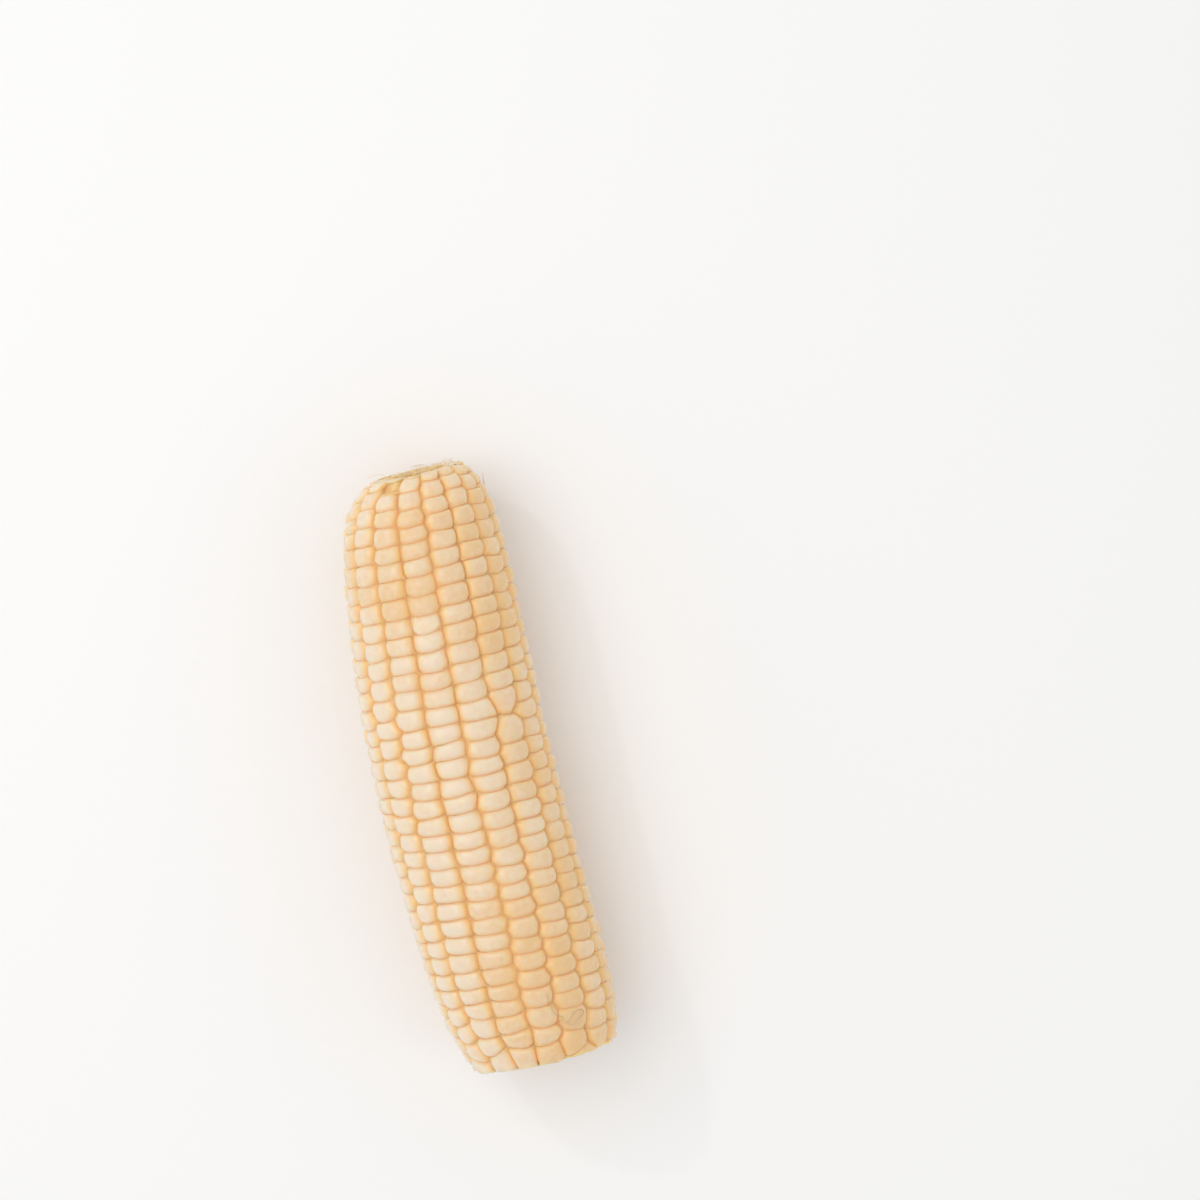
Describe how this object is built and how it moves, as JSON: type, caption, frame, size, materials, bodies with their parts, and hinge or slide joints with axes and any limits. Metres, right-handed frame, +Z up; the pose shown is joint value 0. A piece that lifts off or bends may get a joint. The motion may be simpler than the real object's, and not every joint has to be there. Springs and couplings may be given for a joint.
{
  "type": "corn cob",
  "caption": "Husked ear of white waxy corn, lying on its side: long rows of pillow-shaped kernels round a slightly bowed, tapering ear, trimmed flat at tip and butt.",
  "frame": {"origin": "centre of the bounding box's underside, on the surface that the ear lies on", "axes": "+Z up; +Y along the ear towards its tip; +X across the ear"},
  "size_m": [0.051, 0.1628, 0.0485],
  "materials": {
    "kernels": "waxy, cream to pale gold, slightly translucent"
  },
  "bodies": {
    "root": {"corn_ear": "kernels"}
  },
  "joints": []
}
